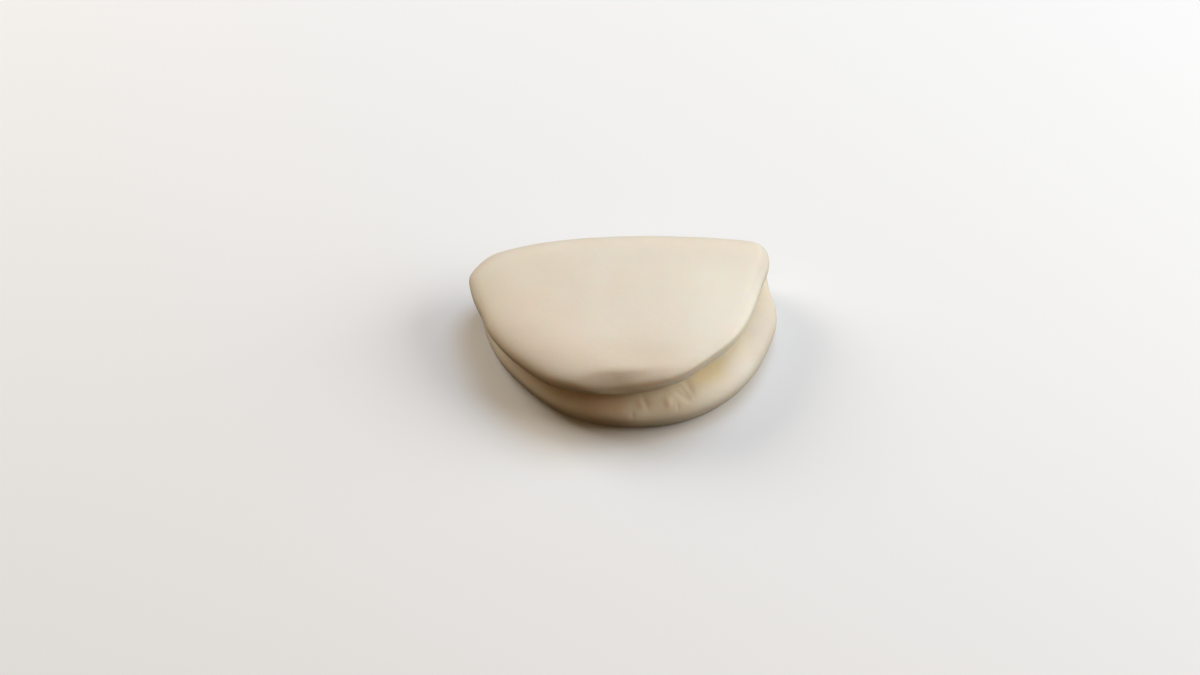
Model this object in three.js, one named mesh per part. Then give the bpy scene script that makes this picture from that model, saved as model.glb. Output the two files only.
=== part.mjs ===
// A folded steamed bun: one oval of leavened dough, folded over on itself and steamed until it puffs.
// It lies flat on its lower leaf. Millimetres, +Z up. The fold runs along X at the back (+Y), the mouth
// faces the front (-Y), and the origin is on the resting face, under the middle of the bun's box.
//
// The bun starts as a box whose broad faces become the two skins of the dough sheet. On the sheet, u runs
// along the fold and v across it: v is 0 on the fold line, positive on the upper leaf and negative on the
// lower one. The sheet is then bent round the fold line, with a thin slit left between the leaves.

import * as THREE from "three";

// Driving dimensions
const halfLength = 50; // half the oval's length, along the fold
const upperReach = 65.7; // from the fold line to the upper lip, along the dough
const lowerReach = 67.2; // from the fold line to the lower lip
const upperThickness = 12.2;
const lowerThickness = 13.9;
const crownHeight = 1.5; // how far the upper leaf swells in its middle
const slitGap = 0.6; // the closed mouth's slit, between the two leaves
const hingeGap = 2; // the same slit where it ends, inside the fold
const hingeGapLength = 20; // how far from the fold line the slit narrows to slitGap

// How full each quarter of the oval is: 2 is an ellipse, and more is squarer
const fullness = { upperLeft: 2.05, upperRight: 1.97, lowerLeft: 2.24, lowerRight: 2.16 };

// The oval wasn't folded quite square, so the leaves don't lie exactly over each other
const lean = -0.02; // sideways shift for each millimetre across the sheet
const upperSlip = -0.3; // sideways shift of a whole leaf along the fold
const lowerSlip = 2.7;
const slipLength = 18; // distance from the fold line over which the slip builds up

// The ends of the fold are thinner, and curve forward
const leftEnd = { thinning: 0.08, pullForward: 4.5 };
const rightEnd = { thinning: 0, pullForward: 4.2 };
const endPower = 3;

// The rims are puffed up and round, softly on the left and more tightly on the right. The rounding starts
// this far in from the edge on the outer skin and on the slit side, and its section is a superellipse.
const upperRim = { skin: { left: 14, right: 8 }, slit: { left: 6.5, right: 6.5 }, fullness: 2.15 };
const lowerRim = { skin: { left: 6, right: 4.5 }, slit: { left: 12, right: 9 }, fullness: 1.9 };
const rimBlend = 0.35; // one rim passes into the other over this share of the way from the fold to a lip

// A shallow hollow in the front lip of the upper leaf, between two shares of the way to the lip
const lipHollow = { u: 2, halfWidth: 13, depth: 1.2, starts: 0.72, fullyDeep: 0.92 };

// Steps of the mesh
const stepsAlong = 30;
const stepsAcross = 44;
const stepsThrough = 8;
const rowSpacingAtFold = 0.4; // of even rows: closer together at the fold, further apart at the lips

const bendRadius = (upperThickness + lowerThickness) / 4 + slitGap / 2; // of the sheet's middle
const bendLength = (Math.PI / 2) * bendRadius; // from the fold line to where a leaf is flat

const { abs, cos, sin, sign, hypot, atan2, min, max, PI } = Math;

function smooth(x) {
  const c = min(max(x, 0), 1);
  return c * c * (3 - 2 * c);
}

// A power that keeps the sign, as superellipses use it.
function signedPower(x, p) {
  return sign(x) * abs(x) ** p;
}

function blend(from, to, share) {
  return from + (to - from) * share;
}

// The edge of the flat sheet at an angle from +u, before it is folded.
function ovalEdge(angle) {
  const upper = sin(angle) >= 0;
  const right = cos(angle) >= 0;
  const leaf = upper ? "upper" : "lower";
  const n = fullness[leaf + (right ? "Right" : "Left")];
  const reach = upper ? upperReach : lowerReach;
  const v = reach * signedPower(sin(angle), 2 / n);
  return { u: halfLength * signedPower(cos(angle), 2 / n) + lean * v, v };
}

// Takes a corner of the box, each coordinate from -1 to 1, to its place in the sheet: u, v, the share of
// the way from the slit side to the outer skin, and the share of the way from the middle to the rim.
function onSheet(box) {
  const row = box.y * (rowSpacingAtFold + (1 - rowSpacingAtFold) * abs(box.y));
  const discX = box.x * Math.sqrt(1 - row ** 2 / 2);
  const discY = row * Math.sqrt(1 - box.x ** 2 / 2);
  const edge = ovalEdge(atan2(discY, discX));
  const edgeDistance = hypot(edge.u, edge.v);
  const tilt = (-box.z * PI) / 2; // 0 at the middle of the rim; the underside is the outer skin
  const side = tilt > 0 ? "skin" : "slit";
  const rightward = (1 + min(max(edge.u / halfLength, -1), 1)) / 2;
  const upperStart = blend(upperRim[side].left, upperRim[side].right, rightward);
  const lowerStart = blend(lowerRim[side].left, lowerRim[side].right, rightward);
  const upward = smooth((discY / rimBlend + 1) / 2); // 0 on the lower leaf, 1 on the upper one
  const roundingStart = blend(lowerStart, upperStart, upward);
  const power = 2 / blend(lowerRim.fullness, upperRim.fullness, upward);
  const inset = roundingStart * (1 - max(cos(tilt), 0) ** power);
  const share = (hypot(discX, discY) * (edgeDistance - inset)) / edgeDistance;
  return {
    u: edge.u * share,
    v: edge.v * share,
    through: 0.5 + 0.5 * signedPower(sin(tilt), power),
    outward: share,
  };
}

// How thick the dough is at a place in the sheet.
function thickness({ u, v, outward }, endShare) {
  const leaf = smooth((v / bendLength + 1) / 2); // 0 on the lower leaf, 1 on the upper one
  const crown = leaf * crownHeight * (1 - outward ** 2);
  const aside = (u - lipHollow.u) / lipHollow.halfWidth;
  const { starts, fullyDeep } = lipHollow;
  const towardsLip = smooth((v / upperReach - starts) / (fullyDeep - starts));
  const hollow = lipHollow.depth * towardsLip * Math.exp(-(aside ** 2));
  return (lowerThickness + (upperThickness - lowerThickness) * leaf) * endShare + crown - hollow;
}

// Bends the sheet round the fold line and returns the place in the bun.
function fold(place) {
  const { u, v, through } = place;
  const slip = v >= 0 ? upperSlip : lowerSlip;
  const x = u + slip * smooth(abs(v) / slipLength);
  const end = x < 0 ? leftEnd : rightEnd;
  const towardsEnd = (abs(x) / halfLength) ** endPower;
  const endShare = 1 - end.thinning * towardsEnd;
  const halfSlit = slitGap / 2;
  const slitHere = halfSlit + (hingeGap / 2 - halfSlit) * (1 - smooth(abs(v) / hingeGapLength));
  const skin = halfSlit + thickness(place, endShare); // from the slit's middle to the outer skin
  const radius = slitHere + through * (skin - slitHere);
  const turn = min(max(v / bendRadius, -PI / 2), PI / 2);
  const flat = max(abs(v) - bendLength, 0);
  const slitHeight = lowerThickness * endShare + halfSlit;
  return new THREE.Vector3(
    x,
    radius * cos(turn) - flat - end.pullForward * towardsEnd,
    slitHeight + radius * sin(turn),
  );
}

function bunGeometry() {
  const geometry = new THREE.BoxGeometry(2, 2, 2, stepsAlong, stepsAcross, stepsThrough);
  const position = geometry.getAttribute("position");
  const corner = new THREE.Vector3();
  for (let i = 0; i < position.count; i++) {
    corner.fromBufferAttribute(position, i);
    const place = fold(onSheet(corner));
    position.setXYZ(i, place.x, place.y, place.z);
  }
  geometry.computeBoundingBox();
  const middle = geometry.boundingBox.getCenter(new THREE.Vector3());
  geometry.translate(-middle.x, -middle.y, -geometry.boundingBox.min.z);
  geometry.computeVertexNormals();
  return geometry;
}

const dough = new THREE.MeshStandardMaterial({ color: 0xe4d9c7, roughness: 0.62, metalness: 0 });
const bun = new THREE.Mesh(bunGeometry(), dough);
bun.name = "bun";

const group = new THREE.Group();
group.name = "steamed_bun";
group.add(bun);

export default group;
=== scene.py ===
# A folded steamed bun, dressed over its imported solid. Metres, +Z up, in the part's own frame.
from math import atan2, cos, degrees, exp, hypot, log, pi, radians, sin, sqrt

import bmesh
import bpy
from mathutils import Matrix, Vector, noise


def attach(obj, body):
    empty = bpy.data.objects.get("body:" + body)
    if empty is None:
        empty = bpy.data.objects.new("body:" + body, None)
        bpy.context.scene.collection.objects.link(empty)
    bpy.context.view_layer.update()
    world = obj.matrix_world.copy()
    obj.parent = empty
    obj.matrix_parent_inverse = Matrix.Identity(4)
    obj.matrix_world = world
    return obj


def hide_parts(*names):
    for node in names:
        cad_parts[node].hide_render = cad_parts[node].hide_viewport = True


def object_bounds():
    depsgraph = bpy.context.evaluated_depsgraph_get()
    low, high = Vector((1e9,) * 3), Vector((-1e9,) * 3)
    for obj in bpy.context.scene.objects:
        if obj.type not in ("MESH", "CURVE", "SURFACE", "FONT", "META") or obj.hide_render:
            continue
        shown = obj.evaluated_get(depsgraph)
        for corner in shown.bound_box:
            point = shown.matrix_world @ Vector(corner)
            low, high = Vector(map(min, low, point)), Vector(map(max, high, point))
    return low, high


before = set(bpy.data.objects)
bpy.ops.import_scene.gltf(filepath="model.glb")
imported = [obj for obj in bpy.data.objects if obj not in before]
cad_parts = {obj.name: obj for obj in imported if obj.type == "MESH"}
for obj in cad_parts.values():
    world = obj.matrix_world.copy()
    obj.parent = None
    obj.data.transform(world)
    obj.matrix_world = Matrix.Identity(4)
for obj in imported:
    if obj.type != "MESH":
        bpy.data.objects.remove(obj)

cadLow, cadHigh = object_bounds()

# The bun starts as an oval sheet of dough. On the sheet u runs along the fold and v across it, positive on
# the upper leaf and negative on the lower one, and angles are in degrees from +u.
bunShape = {
    "sheet": {
        "halfLength": 0.050,
        "upperReach": 0.0655,  # from the fold line to a lip
        "lowerReach": 0.0672,
        # How full each quarter of the oval is: 2 is an ellipse, and more is squarer
        "fullness": {"upperLeft": 2.05, "upperRight": 1.97, "lowerLeft": 2.24, "lowerRight": 2.16},
        "lean": -0.02,  # sideways shift for each metre across the sheet
        "upperThickness": 0.0112,
        "lowerThickness": 0.0139,
        "crown": 0.0025,  # how far the upper leaf swells in its middle
        "steps": {"along": 144, "across": 200, "through": 24},
        "rowSpacingAtFold": 0.8,  # of even rows
    },
    # Where the cut edge of the oval stands out, or in if the height is negative
    "edgeSwells": (
        {"angle": -19, "halfWidth": 7, "height": 0.0008},
        {"angle": -8, "halfWidth": 5, "height": -0.0003},
        {"angle": 10, "halfWidth": 5, "height": 0.0008},
        {"angle": 24, "halfWidth": 8, "height": -0.0004},
        {"angle": 45, "halfWidth": 12, "height": 0.0010},
        {"angle": 68, "halfWidth": 12, "height": 0.0015},
        {"angle": 117, "halfWidth": 9, "height": 0.0010},
        {"angle": 157, "halfWidth": 5, "height": -0.0006},
        {"angle": 173, "halfWidth": 5, "height": 0.0004},
        {"angle": 198, "halfWidth": 7, "height": 0.0005},
        {"angle": 209, "halfWidth": 6, "height": 0.0003},
        {"angle": 226, "halfWidth": 12, "height": -0.0006},
    ),
    # Pairs are for the left and the right: how far in from the edge the rounding starts, on the outer skin
    # and on the slit side, and where a rim is widest, as a share of the way from slit to outer skin
    "rims": {
        "upper": {
            "skin": (0.014, 0.0048),
            "slit": (0.0065, 0.0060),
            "widest": (0.52, 0.74),
            "fullness": 2.15,
        },
        "lower": {
            "skin": (0.006, 0.0045),
            "slit": (0.012, 0.011),
            "widest": (0.5, 0.5),
            "fullness": 1.9,
        },
        "upperToLower": 0.35,  # share of the way to a lip over which one rim passes into the other
        "sideSteepness": 1.9,  # how quickly left passes into right; 1 takes the whole length
    },
    # Round this angle the upper rim overhangs: it is widest higher up, by a share of its thickness, and
    # its rounding on the slit side starts further in
    "overhang": {"angle": 70, "halfWidth": 20, "higher": 0.13, "further": 0.004},
    # Round this angle the upper rim's side face is painted greyer and darker, as painted shade. The painted
    # shade sets in between two amounts of the roundness, which is 0 on the flat skin and 1 in the middle of
    # the rim
    "rimShadeBand": {"angle": 28, "halfWidth": 25, "starts": 0.12, "full": 0.75},
    # The upper lip sinks a little in the middle of the mouth, between two shares of its reach
    "lipHollow": {"u": 0.002, "halfWidth": 0.013, "depth": 0.0012, "starts": 0.72, "full": 0.92},
    # How the sheet is folded over. The ends of the fold are thinner, and curve forward
    "fold": {
        "slitGap": 0.0003,  # at the mouth
        "hingeGap": 0.002,  # where the slit ends, inside the fold
        "hingeGapLength": 0.020,
        "innerFace": 0.0003,  # from the slit's middle to where a leaf's thickness counts from
        "upperSlip": -0.0003,  # sideways shift of a whole leaf
        "lowerSlip": 0.0027,
        "slipLength": 0.018,
        "leftEnd": {"thinning": 0.08, "pullForward": 0.0045},
        "rightEnd": {"thinning": 0, "pullForward": 0.0042},
        "endPower": 3,
    },
    # Where the back of the fold is pressed in, or stands out if the depth is negative
    "backDents": (
        {"x": 0.020, "halfWidth": 0.012, "depth": 0.0007},
        {"x": 0.044, "halfWidth": 0.006, "depth": -0.0005},
        {"x": -0.049, "halfWidth": 0.004, "depth": 0.0011},
    ),
    "backDentReach": 0.03,  # from the fold line to where they have faded
    # In front of the hollow the lip is pressed flat, against planes with a point, a direction out of the
    # bun and a rounded edge. The pressing fades sideways, and sets in above its lowest point
    "lipPress": {
        "lowest": 0.0150,
        "setsIn": 0.004,
        "planes": (
            {
                "point": (-0.0060, -0.0281, 0.0252),
                "out": (-0.01, -0.766, 0.643),
                "edge": 0.00016,
                "halfWidth": 0.0125,
            },
            {
                "point": (-0.0058, -0.0321, 0.0222),
                "out": (0.00, -1.000, 0.020),
                "edge": 0.00030,
                "halfWidth": 0.0108,
            },
        ),
    },
    # The uneven skin: how long its waves are, and how far they stand proud
    "skinWaves": (
        {"size": 0.030, "height": 0.0002, "seed": 3.1},
        {"size": 0.010, "height": 0.0001, "seed": 8.4},
    ),
    "flatFoot": 0.003,  # height over which the waves set in, so that the bun rests flat
    # Dents and creases along a line, fading to its ends; those with a positive height stand proud
    "marks": {
        "pleat": {
            "from": (0.0030, -0.0297, 0.0132), "to": (0.0054, -0.0340, 0.0102),
            "halfWidth": 0.0010, "height": -0.00019,
        },
        "pleatEdge": {
            "from": (0.0018, -0.0302, 0.0130), "to": (0.0042, -0.0342, 0.0101),
            "halfWidth": 0.0011, "height": 0.00012,
        },
        "lump": {
            "from": (0.0112, -0.0298, 0.0123), "to": (0.0121, -0.0331, 0.0104),
            "halfWidth": 0.0013, "height": 0.0003,
        },
        "crinkle": {
            "from": (0.0172, -0.0238, 0.0139), "to": (0.0198, -0.0298, 0.0117),
            "halfWidth": 0.0012, "height": -0.00024,
        },
        "secondCrinkle": {
            "from": (0.0139, -0.0284, 0.0131), "to": (0.0187, -0.0312, 0.0107),
            "halfWidth": 0.0010, "height": -0.00025,
        },
        "thirdCrinkle": {
            "from": (0.0156, -0.0266, 0.0135), "to": (0.0190, -0.0311, 0.0109),
            "halfWidth": 0.0009, "height": -0.0002,
        },
        "pock": {
            "from": (0.0140, -0.0328, 0.0103), "to": (0.0155, -0.0328, 0.0100),
            "halfWidth": 0.0010, "height": -0.00012,
        },
        "secondPock": {
            "from": (-0.0010, -0.0346, 0.0093), "to": (0.0010, -0.0346, 0.0093),
            "halfWidth": 0.0011, "height": -0.00015,
        },
        "scratch": {
            "from": (-0.0130, -0.0266, 0.0259), "to": (-0.0092, -0.0273, 0.0258),
            "halfWidth": 0.0006, "height": -0.00025,
        },
    },
    "markFade": 0.4,  # a mark's half-width along its line, as a share of it
    "markReach": 0.01,  # further than this from its start, a mark isn't felt
    # Part of the lower lip has finer faces, for its creases: where on the box, from -1 to 1
    "fineLip": {"left": -0.45, "right": 0.85, "back": -0.80, "lowest": -0.1, "cuts": 1},
}
sheet, rims, folding = bunShape["sheet"], bunShape["rims"], bunShape["fold"]

bendRadius = (sheet["upperThickness"] + sheet["lowerThickness"]) / 4 + folding["innerFace"]
bendLength = bendRadius * pi / 2  # from the fold line to where a leaf is flat


def smooth(x):
    x = min(max(x, 0), 1)
    return x * x * (3 - 2 * x)


def bell(x, middle, halfWidth):
    return exp(-(((x - middle) / halfWidth) ** 2))


def signedPower(x, power):
    return abs(x) ** power * (1 if x >= 0 else -1)


def blend(start, end, share):
    return start + (end - start) * share


# A ramp with a rounded foot: 0 well below zero, and x well above it.
def softRamp(x, footStart=-8, footEnd=30):
    if x <= footStart:
        return 0
    return x if x > footEnd else log(1 + exp(x))


# The edge of the flat sheet, at an angle from +u.
def ovalEdge(angle):
    leaf = "upper" if sin(angle) >= 0 else "lower"
    side = "Right" if cos(angle) >= 0 else "Left"
    power = 2 / sheet["fullness"][leaf + side]
    v = sheet[leaf + "Reach"] * signedPower(sin(angle), power)
    u = sheet["halfLength"] * signedPower(cos(angle), power) + sheet["lean"] * v
    swell = 0
    for s in bunShape["edgeSwells"]:
        apart = (degrees(angle) - s["angle"] + 180) % 360 - 180
        swell += s["height"] * bell(apart, 0, s["halfWidth"])
    further = 1 + swell / hypot(u, v)
    return u * further, v * further


# A value of the rims where they pass into each other, from left to right and from the lower to the upper.
def rimValue(name, rightward, upward):
    lower, upper = (blend(*rims[leaf][name], rightward) for leaf in ("lower", "upper"))
    return blend(lower, upper, upward)


# Takes a point of the box, each coordinate from -1 to 1, to the sheet: u, v, the share of the way from the
# slit side to the outer skin, the share of the way from the middle to the edge, and the rim's painted
# shade.
def onSheet(box):
    near = sheet["rowSpacingAtFold"]
    row = box.y * (near + (1 - near) * abs(box.y))
    discX = box.x * sqrt(1 - row**2 / 2)
    discY = row * sqrt(1 - box.x**2 / 2)
    edgeU, edgeV = ovalEdge(atan2(discY, discX))
    edgeDistance = hypot(edgeU, edgeV)
    around = degrees(atan2(edgeV, edgeU))
    rightward = smooth((1 + rims["sideSteepness"] * edgeU / sheet["halfLength"]) / 2)
    upward = smooth((discY / rims["upperToLower"] + 1) / 2)  # 0 on the lower leaf, 1 on the upper one
    tilt = -box.z * pi / 2  # 0 at the middle of the rim; the underside of the box is the outer skin
    side = "skin" if tilt > 0 else "slit"
    rounding = rimValue(side, rightward, upward)
    widest = rimValue("widest", rightward, upward)
    overhang = bunShape["overhang"]
    hanging = bell(around, overhang["angle"], overhang["halfWidth"]) * upward
    widest += overhang["higher"] * hanging
    if side == "slit":
        rounding += overhang["further"] * hanging
    power = 2 / blend(rims["lower"]["fullness"], rims["upper"]["fullness"], upward)
    inset = rounding * (1 - max(cos(tilt), 0) ** power)
    outward = hypot(discX, discY) * (edgeDistance - inset) / edgeDistance
    roll = signedPower(sin(tilt), power)
    through = widest + roll * (1 - widest if roll > 0 else widest)
    # How much the upper rim's side face is painted greyer and darker: painted shade
    rimShade = bunShape["rimShadeBand"]
    rimShading = smooth((cos(tilt) - rimShade["starts"]) / (rimShade["full"] - rimShade["starts"])) * upward
    rimShading *= bell(around, rimShade["angle"], rimShade["halfWidth"])
    return edgeU * outward, edgeV * outward, through, outward, rimShading


# How thick the dough is at a place in the sheet.
def thickness(u, v, outward, endShare):
    leaf = smooth((v / bendLength + 1) / 2)  # 0 on the lower leaf, 1 on the upper one
    lower, upper = sheet["lowerThickness"], sheet["upperThickness"]
    crown = leaf * sheet["crown"] * (1 - outward**2)
    hollow = bunShape["lipHollow"]
    towardsLip = smooth((v / sheet["upperReach"] - hollow["starts"]) / (hollow["full"] - hollow["starts"]))
    sunk = hollow["depth"] * towardsLip * bell(u, hollow["u"], hollow["halfWidth"])
    return (lower + (upper - lower) * leaf) * endShare + crown - sunk


# Bends the sheet round the fold line.
def fold(u, v, through, outward):
    slip = folding["upperSlip"] if v >= 0 else folding["lowerSlip"]
    x = u + slip * smooth(abs(v) / folding["slipLength"])
    end = folding["leftEnd"] if x < 0 else folding["rightEnd"]
    towardsEnd = (abs(x) / sheet["halfLength"]) ** folding["endPower"]
    endShare = 1 - end["thinning"] * towardsEnd
    mouth, hinge = folding["slitGap"] / 2, folding["hingeGap"] / 2
    slit = mouth + (hinge - mouth) * (1 - smooth(abs(v) / folding["hingeGapLength"]))
    skin = folding["innerFace"] + thickness(u, v, outward, endShare)
    radius = slit + through * (skin - slit)
    turn = min(max(v / bendRadius, -pi / 2), pi / 2)
    flat = max(abs(v) - bendLength, 0)
    dent = sum(d["depth"] * bell(x, d["x"], d["halfWidth"]) for d in bunShape["backDents"])
    dent *= 1 - smooth(abs(v) / bunShape["backDentReach"])
    y = radius * cos(turn) - flat - end["pullForward"] * towardsEnd - dent
    z = sheet["lowerThickness"] * endShare + folding["innerFace"] + radius * sin(turn)
    return Vector((x, y, z))


# A box of dough with even rows of faces, 2 along each side.
def doughBox():
    bm = bmesh.new()
    bmesh.ops.create_cube(bm, size=2)
    for axis, steps in enumerate(sheet["steps"].values()):
        edges = [e for e in bm.edges if abs((e.verts[0].co - e.verts[1].co)[axis]) > 1]
        bmesh.ops.subdivide_edges(bm, edges=edges, cuts=steps - 1, use_grid_fill=True)
    return bm


def refineLip(bm):
    fine = bunShape["fineLip"]
    edges = set()
    for face in bm.faces:
        middle = face.calc_center_bounds()
        inWidth = fine["left"] < middle.x < fine["right"]
        if inWidth and middle.y < fine["back"] and middle.z > fine["lowest"]:
            edges.update(face.edges)
    bmesh.ops.subdivide_edges(bm, edges=list(edges), cuts=fine["cuts"], use_grid_fill=True)


def pressLip(bm):
    press = bunShape["lipPress"]
    for plane in press["planes"]:
        point, out = Vector(plane["point"]), Vector(plane["out"]).normalized()
        for vert in bm.verts:
            pressed = plane["edge"] * softRamp((vert.co - point).dot(out) / plane["edge"])
            if pressed:
                pressed *= bell(vert.co.x, point.x, plane["halfWidth"])
                vert.co -= out * pressed * smooth((vert.co.z - press["lowest"]) / press["setsIn"])


# How much of a mark reaches a point: 1 in the middle of its line.
def reach(point, start, end, halfWidth):
    along = end - start
    share = (point - start).dot(along) / along.length_squared
    across = (point - start - along * share).length
    return bell(across, 0, halfWidth) * bell(share, 0.5, bunShape["markFade"])


def liftSkin(bm):
    bm.normal_update()
    marks = bunShape["marks"].values()
    lines = [(Vector(m["from"]), Vector(m["to"]), m["halfWidth"], m["height"]) for m in marks]
    lifts = []
    for vert in bm.verts:
        lift = 0
        for wave in bunShape["skinWaves"]:
            lift += wave["height"] * noise.noise(vert.co / wave["size"] + Vector((0, 0, wave["seed"])))
        for start, end, halfWidth, height in lines:
            if (vert.co - start).length < bunShape["markReach"]:
                lift += height * reach(vert.co, start, end, halfWidth)
        lifts.append(vert.normal * lift * smooth((vert.co.z - cadLow.z) / bunShape["flatFoot"]))
    for vert, lift in zip(bm.verts, lifts):
        vert.co += lift


def newMesh(name, bm, material):
    mesh = bpy.data.meshes.new(name)
    bm.to_mesh(mesh)
    bm.free()
    mesh.materials.append(material)
    piece = bpy.data.objects.new(name, mesh)
    bpy.context.scene.collection.objects.link(piece)
    return piece


def makeBun(material):
    bm = doughBox()
    refineLip(bm)
    slitSide = bm.verts.layers.float.new("slitSide")
    # rimSide holds how much painted shade the upper rim's side face gets
    rimSide = bm.verts.layers.float.new("rimSide")
    for vert in bm.verts:
        u, v, through, outward, rimShading = onSheet(vert.co)
        vert[slitSide], vert[rimSide] = 1 - through, rimShading
        vert.co = fold(u, v, through, outward)
    # Folded, it is moved to the middle of the solid's box, and down to its resting face
    low = Vector([min(vert.co[i] for vert in bm.verts) for i in range(3)])
    high = Vector([max(vert.co[i] for vert in bm.verts) for i in range(3)])
    middle, cadMiddle = (low + high) / 2, (cadLow + cadHigh) / 2
    shift = Vector((cadMiddle.x - middle.x, cadMiddle.y - middle.y, cadLow.z - low.z))
    bmesh.ops.translate(bm, verts=bm.verts, vec=shift)
    pressLip(bm)
    liftSkin(bm)
    for face in bm.faces:
        face.smooth = True
    bun = newMesh("steamed_bun", bm, material)
    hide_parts("bun")
    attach(bun, "root")


doughFinish = {
    "cream": (0.795, 0.725, 0.600),
    "pale": (0.800, 0.750, 0.640),
    "mottling": {"scale": 70, "detail": 3, "starts": 0.35, "full": 0.65, "share": 0.7},
    # Moister dough on the inside of the fold
    "slitTone": {"colour": (0.760, 0.665, 0.490), "starts": 0.5, "full": 0.9, "share": 0.6},
    # Painted shade: the upper rim's side face greyer and darker
    "rimShadeTone": {"colour": (0.610, 0.575, 0.505), "share": 0.85},
    "patches": {
        "leftBlush": {
            "at": (-0.032, -0.010, 0.026), "size": (0.030, 0.030, 0.030),
            "tone": (0.800, 0.695, 0.570), "share": 0.7,
        },
        # Painted shade: the left end of the upper leaf darker and more olive, turned from the light
        "leftEnd": {
            "at": (-0.046, 0.004, 0.022), "size": (0.010, 0.024, 0.012),
            "tone": (0.745, 0.680, 0.520), "share": 0.35,
        },
        "frontBlush": {
            "at": (-0.002, -0.026, 0.025), "size": (0.034, 0.017, 0.010),
            "tone": (0.800, 0.690, 0.545), "share": 0.6,
        },
        "pinkSpot": {
            "at": (-0.0267, -0.0225, 0.024), "size": (0.006, 0.006, 0.008),
            "tone": (0.820, 0.680, 0.590), "share": 0.4,
        },
        "secondPinkSpot": {
            "at": (-0.031, 0.001, 0.027), "size": (0.005, 0.005, 0.008),
            "tone": (0.820, 0.680, 0.590), "share": 0.35,
        },
        # Painted light: the top paler and cooler towards the right, where the light falls from
        "rightTopLight": {
            "at": (0.036, -0.006, 0.026), "size": (0.029, 0.034, 0.020),
            "tone": (0.840, 0.800, 0.700), "share": 0.8,
        },
        "yellowLip": {
            "at": (0.0265, -0.022, 0.0140), "size": (0.012, 0.009, 0.006),
            "tone": (0.810, 0.710, 0.470), "share": 0.8,
        },
        # Painted shade: the right end of the lower leaf greyer and darker, where its side turns from the
        # light
        "rightEndShade": {
            "at": (0.0465, -0.006, 0.0105), "size": (0.013, 0.026, 0.008),
            "tone": (0.655, 0.600, 0.520), "share": 0.8,
        },
        # Painted shade: the lower leaf browner and darker in the crease under the front-left of the upper
        # lip
        "lipCreaseShade": {
            "at": (-0.0108, -0.0303, 0.0119), "size": (0.013, 0.007, 0.006),
            "tone": (0.650, 0.465, 0.345), "share": 0.7,
        },
        # Painted shade: darker and browner over the crinkles, in their creases
        "crinkleShade": {
            "at": (0.0187, -0.0262, 0.0133), "size": (0.005, 0.005, 0.004),
            "tone": (0.700, 0.600, 0.430), "share": 0.3,
        },
        # Painted light: the lower rim's front right paler where it rounds under, away from the light
        "lowerRimLight": {
            "at": (0.0275, -0.0275, 0.0090), "size": (0.014, 0.008, 0.006),
            "tone": (0.850, 0.800, 0.710), "share": 0.6,
        },
        # Painted shade: the upper lip's front darker on the left
        "lipShadeLeft": {
            "at": (-0.0105, -0.0317, 0.0211), "size": (0.010, 0.005, 0.0035),
            "tone": (0.610, 0.520, 0.400), "share": 0.6,
        },
        # Painted light: the upper lip's front much paler on the right
        "lipLightRight": {
            "at": (0.0080, -0.0325, 0.0215), "size": (0.014, 0.006, 0.0045),
            "tone": (0.960, 0.890, 0.760), "share": 0.8,
        },
        # Painted light: the lower lip's front paler where it rounds under, away from the light
        "lowerLipLight": {
            "at": (0.0024, -0.0350, 0.0080), "size": (0.009, 0.006, 0.0060),
            "tone": (0.930, 0.860, 0.730), "share": 0.7,
        },
        "greyLip": {
            "at": (0.0365, -0.0190, 0.0100), "size": (0.010, 0.011, 0.006),
            "tone": (0.770, 0.740, 0.685), "share": 0.6,
        },
        # Painted shade: the lower lip's front-left browner and darker
        "lowerLipShade": {
            "at": (-0.0080, -0.0345, 0.0062), "size": (0.010, 0.006, 0.006),
            "tone": (0.600, 0.460, 0.380), "share": 0.5,
        },
        # Painted shade: darker and browner in the pleat's groove
        "pleat": {
            "at": (0.0046, -0.0318, 0.0118), "size": (0.004, 0.004, 0.004),
            "tone": (0.700, 0.520, 0.420), "share": 0.4,
        },
    },
    "patchCore": 0.8,  # how far in from its edge a patch reaches its full share
    "patchWobble": {"scale": 150, "reach": 0.006},
    "grain": {"scale": 1500, "detail": 3, "height": 0.00006},
    "waves": {"scale": 260, "detail": 2, "height": 0.00012},
    "pores": {"scale": 420, "width": 0.2, "height": 0.00005},
    "bump": 0.5,
    "gloss": {"scale": 180, "roughness": (0.44, 0.56)},
    "subsurface": 0.7,
    "subsurfaceScale": 0.003,
    "subsurfaceRadius": (1.0, 0.6, 0.35),
}

# The sockets of a Mix node that mixes colours
mixInputs, mixOutput = {"share": 0, "first": 6, "second": 7}, 2


# Links a socket to another one, or gives it a plain value.
def feed(tree, socket, value):
    if isinstance(value, bpy.types.NodeSocket):
        tree.links.new(value, socket)
    else:
        socket.default_value = value


# The nodes are laid down through these few helpers, each of which returns an output socket.
def softStep(tree, value, start, end, top=1):
    step = tree.nodes.new("ShaderNodeMapRange")
    step.interpolation_type = "SMOOTHSTEP"
    for socket, source in zip(step.inputs, (value, start, end, 0, top)):
        feed(tree, socket, source)
    return step.outputs[0]


def attribute(tree, name):
    node = tree.nodes.new("ShaderNodeAttribute")
    node.attribute_name = name
    return node.outputs["Fac"]


def noiseAt(tree, vector, scale, detail=2, output="Fac"):
    texture = tree.nodes.new("ShaderNodeTexNoise")
    texture.inputs["Scale"].default_value = scale
    texture.inputs["Detail"].default_value = detail
    tree.links.new(vector, texture.inputs["Vector"])
    return texture.outputs[output]


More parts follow.
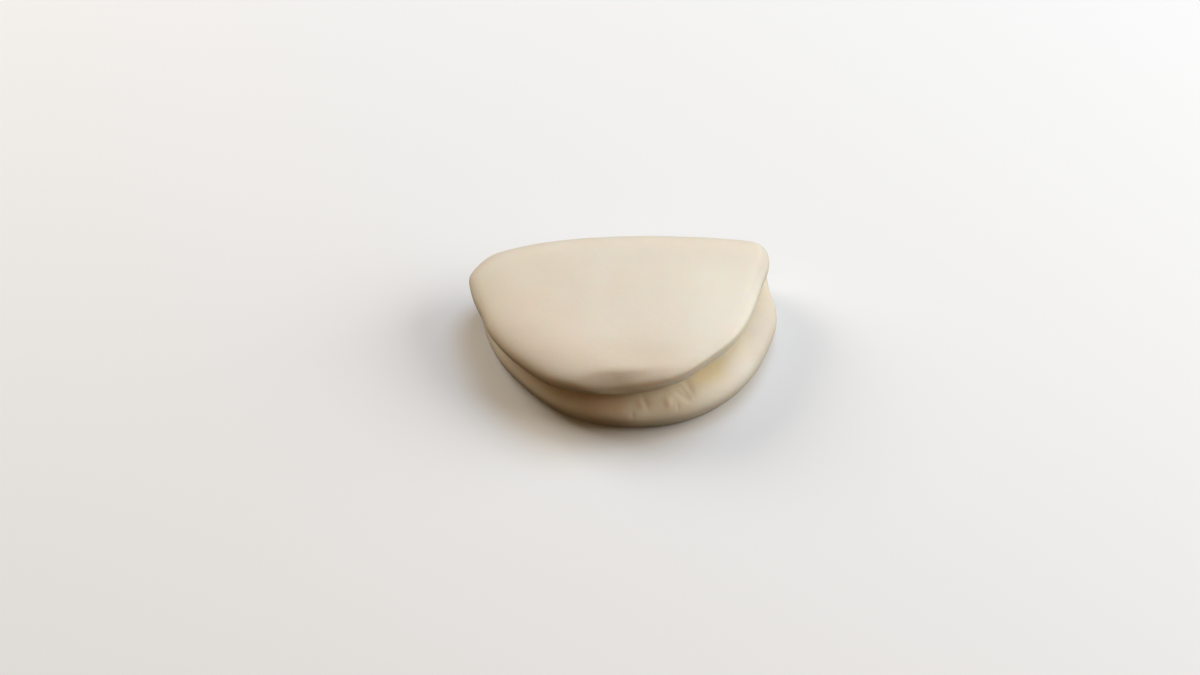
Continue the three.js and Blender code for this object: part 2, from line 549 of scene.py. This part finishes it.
def mixedColour(tree, share, first, second):
    mix = tree.nodes.new("ShaderNodeMix")
    mix.data_type = "RGBA"
    feed(tree, mix.inputs[mixInputs["share"]], share)
    for name, colour in (("first", first), ("second", second)):
        feed(tree, mix.inputs[mixInputs[name]], (*colour, 1) if isinstance(colour, tuple) else colour)
    return mix.outputs[mixOutput]


def combined(tree, operation, *values, kind="ShaderNodeMath"):
    node = tree.nodes.new(kind)
    node.operation = operation
    for socket, value in zip(node.inputs, values):
        feed(tree, socket, value)
    return node.outputs[0]


# Object coordinates pushed about a little, so that no patch has a clean edge.
def wobbled(tree, place, scale, reach):
    clouds = noiseAt(tree, place, scale, output="Color")
    span, middle = (reach,) * 3, (-reach / 2,) * 3
    shift = combined(tree, "MULTIPLY_ADD", clouds, span, middle, kind="ShaderNodeVectorMath")
    return combined(tree, "ADD", place, shift, kind="ShaderNodeVectorMath")


# The patch's share in the middle of its oval, and 0 from its edge outwards.
def patchMask(tree, place, at, size, share):
    mapping = tree.nodes.new("ShaderNodeMapping")
    mapping.vector_type = "TEXTURE"
    mapping.inputs["Location"].default_value = at
    mapping.inputs["Scale"].default_value = size
    tree.links.new(place, mapping.inputs["Vector"])
    ball = tree.nodes.new("ShaderNodeTexGradient")
    ball.gradient_type = "SPHERICAL"
    tree.links.new(mapping.outputs["Vector"], ball.inputs["Vector"])
    return softStep(tree, ball.outputs["Fac"], 0, doughFinish["patchCore"], share)


def doughColour(tree, place):
    mottling, slit, rimShade = (doughFinish[name] for name in ("mottling", "slitTone", "rimShadeTone"))
    clouds = noiseAt(tree, place, mottling["scale"], mottling["detail"])
    cloudy = softStep(tree, clouds, mottling["starts"], mottling["full"], mottling["share"])
    colour = mixedColour(tree, cloudy, doughFinish["cream"], doughFinish["pale"])
    inside = softStep(tree, attribute(tree, "slitSide"), slit["starts"], slit["full"], slit["share"])
    colour = mixedColour(tree, inside, colour, slit["colour"])
    # The upper rim's side face greyer and darker: painted shade
    rimShading = softStep(tree, attribute(tree, "rimSide"), 0, 1, rimShade["share"])
    colour = mixedColour(tree, rimShading, colour, rimShade["colour"])
    uneven = wobbled(tree, place, **doughFinish["patchWobble"])
    for patch in doughFinish["patches"].values():
        mask = patchMask(tree, uneven, patch["at"], patch["size"], patch["share"])
        colour = mixedColour(tree, mask, colour, patch["tone"])
    return colour


# The skin's height: a fine leathery grain, soft waves and a few small pores.
def skinHeight(tree, place):
    heights = []
    for layer in (doughFinish["grain"], doughFinish["waves"]):
        texture = noiseAt(tree, place, layer["scale"], layer["detail"])
        heights.append(combined(tree, "MULTIPLY", texture, layer["height"]))
    pores = doughFinish["pores"]
    cells = tree.nodes.new("ShaderNodeTexVoronoi")
    cells.inputs["Scale"].default_value = pores["scale"]
    tree.links.new(place, cells.inputs["Vector"])
    pits = softStep(tree, cells.outputs["Distance"], 0, pores["width"], pores["height"])
    return combined(tree, "ADD", combined(tree, "ADD", *heights), pits)


def doughMaterial():
    material = bpy.data.materials.new("steamedDough")
    material.use_nodes = True
    tree = material.node_tree
    shader = tree.nodes["Principled BSDF"]
    place = tree.nodes.new("ShaderNodeTexCoord").outputs["Object"]
    tree.links.new(doughColour(tree, place), shader.inputs["Base Color"])
    least, most = doughFinish["gloss"]["roughness"]
    shine = noiseAt(tree, place, doughFinish["gloss"]["scale"])
    roughness = combined(tree, "MULTIPLY_ADD", shine, most - least, least)
    tree.links.new(roughness, shader.inputs["Roughness"])
    bump = tree.nodes.new("ShaderNodeBump")
    bump.inputs["Strength"].default_value = doughFinish["bump"]
    bump.inputs["Distance"].default_value = 1
    tree.links.new(skinHeight(tree, place), bump.inputs["Height"])
    tree.links.new(bump.outputs["Normal"], shader.inputs["Normal"])
    shader.inputs["Subsurface Weight"].default_value = doughFinish["subsurface"]
    shader.inputs["Subsurface Scale"].default_value = doughFinish["subsurfaceScale"]
    shader.inputs["Subsurface Radius"].default_value = doughFinish["subsurfaceRadius"]
    return material


studio = {
    "floor": {
        "colour": (0.875, 0.890, 0.900),
        "bounce": (0.03, 0.028, 0.025),  # how much light it throws back, so the underside stays dark
        "halfSide": 2.0,
        "roughness": 0.9,
        "specular": 0.1,
    },
    "lights": {
        "sideLight": {
            "azimuth": 0, "elevation": 25, "distance": 1.2,
            "size": 1.1, "watts": 13.6, "colour": (1, 1, 0.96),
        },
        "backLight": {
            "azimuth": 140, "elevation": 35, "distance": 1.2,
            "size": 0.7, "watts": 7, "colour": (1, 0.94, 0.83),
        },
        "topLight": {
            "azimuth": 60, "elevation": 60, "distance": 1.2,
            "size": 0.7, "watts": 5.9, "colour": (0.58, 0.76, 1),
        },
    },
    "sky": {"colour": (1, 0.62, 0.28), "strength": 0.2},
}


def onSphere(azimuth, elevation, distance):
    a, e = radians(azimuth), radians(elevation)
    return Vector((cos(a) * cos(e), sin(a) * cos(e), sin(e))) * distance


def makeFloor():
    floor = studio["floor"]
    material = bpy.data.materials.new("paleFloor")
    material.use_nodes = True
    tree = material.node_tree
    shader = tree.nodes["Principled BSDF"]
    seen = tree.nodes.new("ShaderNodeLightPath").outputs["Is Camera Ray"]
    colour = mixedColour(tree, seen, floor["bounce"], floor["colour"])
    tree.links.new(colour, shader.inputs["Base Color"])
    shader.inputs["Roughness"].default_value = floor["roughness"]
    shader.inputs["Specular IOR Level"].default_value = floor["specular"]
    bm = bmesh.new()
    bmesh.ops.create_grid(bm, x_segments=1, y_segments=1, size=floor["halfSide"])
    bmesh.ops.translate(bm, verts=bm.verts, vec=(0, 0, cadLow.z))
    newMesh("floor", bm, material)


def makeLight(name, azimuth, elevation, distance, size, watts, colour):
    light = bpy.data.lights.new(name, "AREA")
    light.size, light.energy, light.color = size, watts, colour
    lamp = bpy.data.objects.new(name, light)
    lamp.location = onSphere(azimuth, elevation, distance)
    lamp.rotation_euler = (-lamp.location).to_track_quat("-Z", "Y").to_euler()
    bpy.context.scene.collection.objects.link(lamp)


def makeSky():
    world = bpy.data.worlds.new("studio")
    world.use_nodes = True
    background = world.node_tree.nodes["Background"]
    background.inputs["Color"].default_value = (*studio["sky"]["colour"], 1)
    background.inputs["Strength"].default_value = studio["sky"]["strength"]
    bpy.context.scene.world = world


viewpoint = {
    "aim": (-0.00810, 0.00772, 0),
    "azimuth": -3.15,  # turned from the -Y side towards -X
    "elevation": 48,
    "distance": 0.75,
    "nearest": 0.01,
    "lens": 66.93,  # millimetres, as the sensor's width is
    "sensor": 36,
}


def makeCamera():
    data = bpy.data.cameras.new("camera")
    data.lens, data.sensor_width = viewpoint["lens"], viewpoint["sensor"]
    data.clip_start = viewpoint["nearest"]
    camera = bpy.data.objects.new("camera", data)
    away = onSphere(viewpoint["azimuth"] - 90, viewpoint["elevation"], viewpoint["distance"])
    camera.location = Vector(viewpoint["aim"]) + away
    camera.rotation_euler = (-away).to_track_quat("-Z", "Y").to_euler()
    bpy.context.scene.collection.objects.link(camera)
    bpy.context.scene.camera = camera


makeCamera()
makeBun(doughMaterial())
print("bun made")
makeFloor()
makeSky()
for name, light in studio["lights"].items():
    makeLight(name, **light)
bpy.context.scene.view_settings.view_transform = "Standard"
print("studio made")
